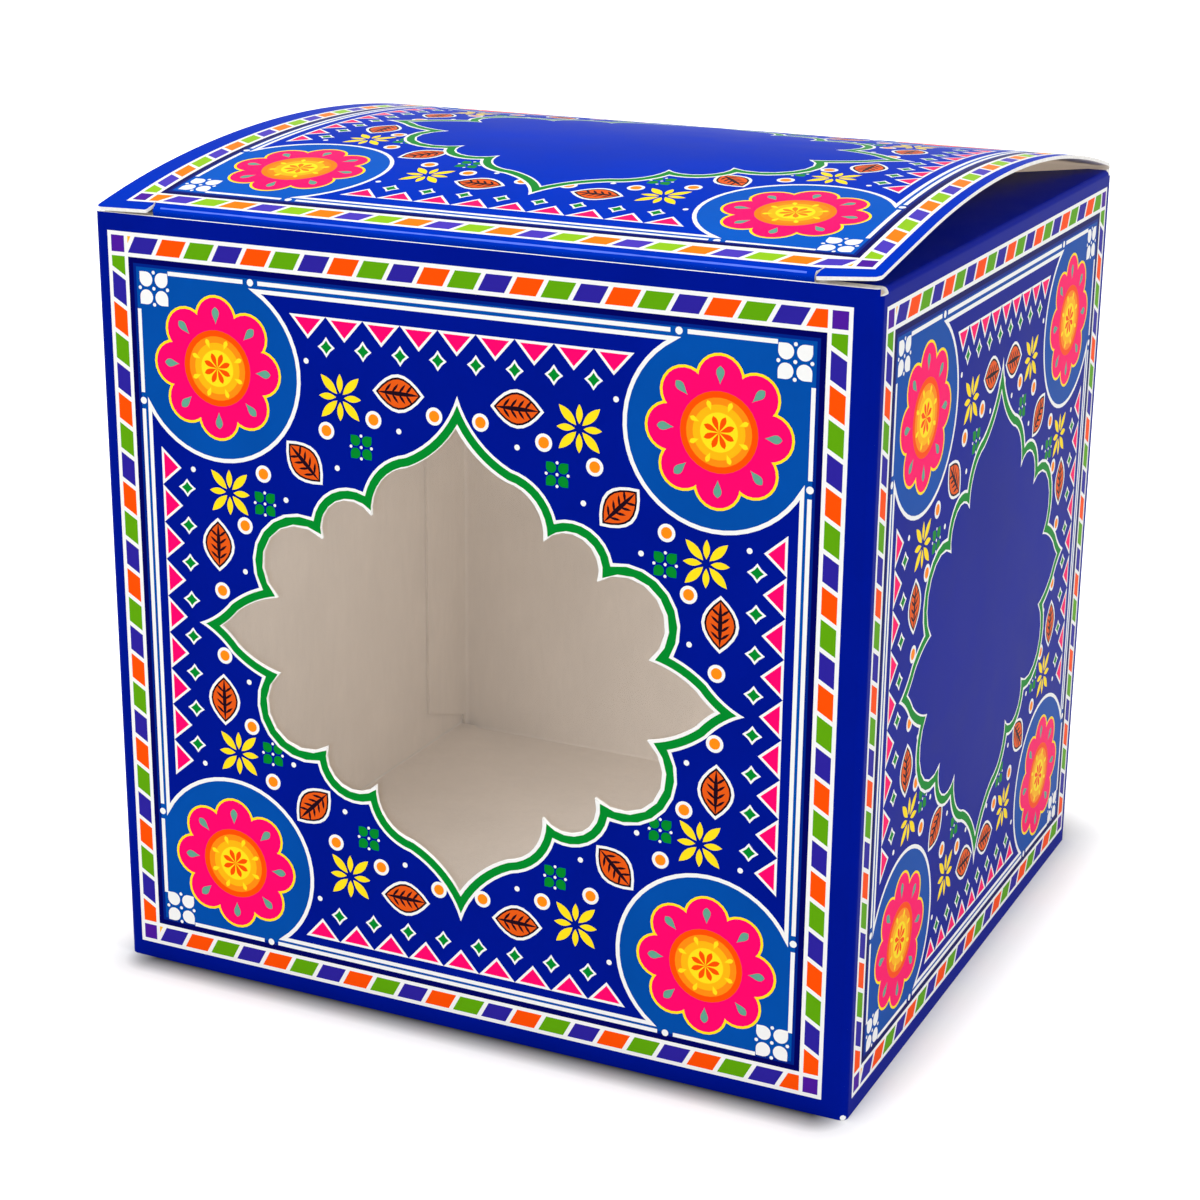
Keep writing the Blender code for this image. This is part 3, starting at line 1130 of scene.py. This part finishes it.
def tuck_flap(body, fold_z, sign, start, **details):
    """A tuck flap that hangs down from its fold line, or stands up where sign is -1, and leans into the
    box. It starts a little way from the line, where its crease ends, and that place is the result."""
    fold = Vector((0, tuck_fold_y, fold_z))
    down = Vector((0, math.sin(tuck_lean), -sign * math.cos(tuck_lean)))
    outward = (0, -math.cos(tuck_lean), -sign * math.sin(tuck_lean))
    panel(body + "_flap", body, flat_place(fold, x_way, down, outward), tuck_outline(start), **details)
    return fold + down * start


def lid_tuck():
    """The lid's tuck flap, and its crease with a painted highlight of lighter ink along the fold."""
    finish = tuck_flap("lid_tuck", tuck_hinge_z, 1, tuck_tangent, ground="lid_royal")
    start, normal = lid_place(0, lid_fold_v)
    centre = start - normal * tuck_fold_radius
    level = tuck_fold_radius * tuck_turn * fold_highlight_share
    highlight_half = neck_half - fold_highlight_end_gap
    highlight = painted_highlight_line((-highlight_half, highlight_half), level, fold_highlight_width)
    fold_strip(
        "lid_tuck_crease", (-neck_half, neck_half), centre, tuck_fold_radius, normal, tuck_turn, x_way,
        ("lid", "lid_tuck"), (start, finish), ground="lid_royal", layers=[("fold_light", highlight)],
    )


def lid_crease():
    start, normal = lid_place(0, lid_rear_v)
    centre = start - normal * rear_fold_radius
    fold_strip(
        "lid_crease", (-lid_half_width, lid_half_width), centre, rear_fold_radius, (0, 1, 0), rear_turn,
        x_way, ("root", "lid"), ((0, half_depth, wall_height), start),
    )


def dust_outline():
    """u runs inwards from the side wall's outer face, v is y."""
    reach = half_width - dust_tip_gap
    rear = half_depth - dust_rear_relief
    front = tuck_fold_y + board + dust_front_gap
    corners = [
        (fold_lift, rear, 0),
        (dust_rear_run, rear, 0),
        (dust_rear_run + dust_shoulder, rear - dust_shoulder, dust_corner_radius),
        (reach, rear - dust_turn_share * reach, dust_corner_radius),
        (reach, front + dust_front_draft, dust_corner_radius),
        (fold_lift, front, 0),
    ]
    return rounded(corners), (front, rear)


def dust_flap(name, side, level, up, radius):
    """A dust flap with its outer face at a level, on the top where up is 1, and its crease."""
    outline, ends = dust_outline()
    inner_x = side * (half_width - fold_lift)
    place = flat_place((side * half_width, 0, level), (-side, 0, 0), y_way, (0, 0, up))
    panel(name + "_flap", name, place, outline)
    centre = (inner_x, 0, level - up * radius)
    start = (inner_x + side * radius, 0, centre[2])
    fold_strip(
        name + "_crease", ends, centre, radius, (side, 0, 0), -up * side * half_pi, y_way, ("root", name),
        (start, (inner_x, 0, level)),
    )


def dust_flaps():
    for side, name in ((-1, "left_dust"), (1, "right_dust")):
        dust_flap(name, side, wall_height, 1, fold_lift)
        dust_flap("bottom_" + name, side, fold_lift, -1, dust_fold_radius)


def bottom():
    """The panel on the back wall, its tuck flap up behind the front wall, and a crease for each."""
    half = half_width - board - clearance
    tangent = bottom_fold_radius * math.tan((half_pi + tuck_lean) / 2)
    rear, front = half_depth - fold_lift, tuck_fold_y + tangent
    place = flat_place((0, 0, 0), x_way, y_way, (0, 0, -1))
    panel("bottom_panel", "bottom", place, box_shape(-half, front, half, rear))
    finish = tuck_flap("bottom_tuck", 0, -1, tangent)
    fold_strip(
        "bottom_crease", (-half, half), (0, rear, fold_lift), fold_lift, (0, 1, 0), -half_pi, x_way,
        ("root", "bottom"), ((0, half_depth, fold_lift), (0, rear, 0)),
    )
    fold_strip(
        "bottom_tuck_crease", (-neck_half, neck_half), (0, front, bottom_fold_radius), bottom_fold_radius,
        (0, 0, -1), -half_pi - tuck_lean, x_way, ("bottom", "bottom_tuck"), ((0, front, 0), finish),
    )


def window_film():
    """The film's own solid has the right shape, so it stays and gets a better material."""
    frame["nodes"]["window_film"].material_slots[0].material = clear_film()


# Floor, light and camera
def distance_outside(tree, parts, half_x, half_y):
    """How far a point of the floor is from a rectangle about the origin, in metres."""
    outside = []
    for axis, half in (("X", half_x), ("Y", half_y)):
        beyond = maths(tree, "SUBTRACT", maths(tree, "ABSOLUTE", parts.outputs[axis]), half * MM)
        outside.append(maths(tree, "POWER", maths(tree, "MAXIMUM", beyond, 0), 2))
    return maths(tree, "SQRT", maths(tree, "ADD", *outside))


def floor():
    """Matt and pale, with a painted shadow: its colour darkens at the box's foot. It turns to the white of
    the backdrop a little way out from the box, which keeps the shadow at the box's foot. It is clear from
    below and under the box, so that the bottom can be seen."""
    material, tree, shader = new_material("floor")
    place = node(tree, "TexCoord").outputs["Object"]
    parts = node(tree, "SeparateXYZ", {0: place})
    away = distance_outside(tree, parts, half_width - floor_foot_narrower, half_depth)
    hole = distance_outside(tree, parts, half_width - floor_hole_margin, half_depth - floor_hole_margin)
    under_box = maths(tree, "LESS_THAN", hole, floor_hole_edge)
    unseen = maths(tree, "MAXIMUM", node(tree, "NewGeometry").outputs["Backfacing"], under_box)
    # Painted shadow: the floor's colour darkens towards the box's foot
    tone = spread(tree, away, painted_foot_shadow_tone, floor_tone, 0, painted_foot_shadow_reach)
    feed(tree, shader, {"Base Color": tone, "Roughness": 0.9, "Specular IOR Level": 0})
    fade = spread(tree, away, 0, floor_glow, floor_glow_start, floor_glow_end)
    strength = maths(tree, "MULTIPLY", background_rays(tree), fade)
    glow = node(tree, "Emission", {"Color": (1, 1, 1, 1), "Strength": strength})
    lit = node(tree, "AddShader", {0: shader.outputs["BSDF"], 1: glow.outputs["Emission"]})
    blended_surface(tree, unseen, lit, node(tree, "BsdfTransparent"))
    disc_mesh = bmesh.new()
    bmesh.ops.create_circle(disc_mesh, cap_ends=True, radius=floor_radius, segments=floor_steps)
    mesh = bpy.data.meshes.new("floor")
    disc_mesh.to_mesh(mesh)
    disc_mesh.free()
    mesh.materials.append(material)
    plane = added("floor", mesh)
    plane.location.z = -floor_gap


def world():
    """The world lights the box softly, and is white where the camera, a mirror or glass sees it."""
    sky = bpy.data.worlds.new("studio")
    bpy.context.scene.world = sky
    sky.use_nodes = True
    tree = sky.node_tree
    strength = node(tree, "Mix")
    strength.data_type = "FLOAT"
    feed(tree, strength, {"A": world_strength, "B": 1.0, "Factor": background_rays(tree)})
    white = {"Color": (1, 1, 1, 1), "Strength": strength.outputs["Result"]}
    feed(tree, tree.nodes["Background"], white)


def lamp(name, kind, place, power):
    data = bpy.data.lights.new(name, kind)
    data.energy = power
    item = added(name, data)
    item.location = place
    return item


def area_light(name, place, size, power):
    item = lamp(name, "AREA", place, power)
    item.data.shape = "SQUARE"
    item.data.size = size
    item.rotation_euler = (Vector(lamp_target) - Vector(place)).to_track_quat("-Z", "Y").to_euler()


def inside_light():
    """Soft lamp inside the box for the light that goes on bouncing between its white walls."""
    item = lamp("inside_light", "POINT", inside_light_place, inside_light_power)
    item.data.shadow_soft_size = inside_light_radius
    item.visible_camera = False
    item.visible_glossy = False


def camera():
    """The photograph's camera, from its place, the way it faces and its roll."""
    data = bpy.data.cameras.new("camera")
    data.lens = focal_length
    data.sensor_width = sensor_width
    data.clip_start, data.clip_end = clip_range
    view = added("camera", data)
    facing = Matrix.Rotation(camera_azimuth, 3, "Z") @ Matrix.Rotation(half_pi - camera_elevation, 3, "X")
    turn = facing @ Matrix.Rotation(camera_roll, 3, "Z")
    view.matrix_world = Matrix.LocRotScale(Vector(camera_place) * MM, turn, None)
    bpy.context.scene.camera = view


walls()
glue_flap()
lid_panel()
lid_tuck()
lid_crease()
dust_flaps()
bottom()
window_film()
floor()
world()
for light, details in LAMPS.items():
    area_light(light, *details)
inside_light()
camera()
bpy.context.scene.view_settings.view_transform = "Standard"
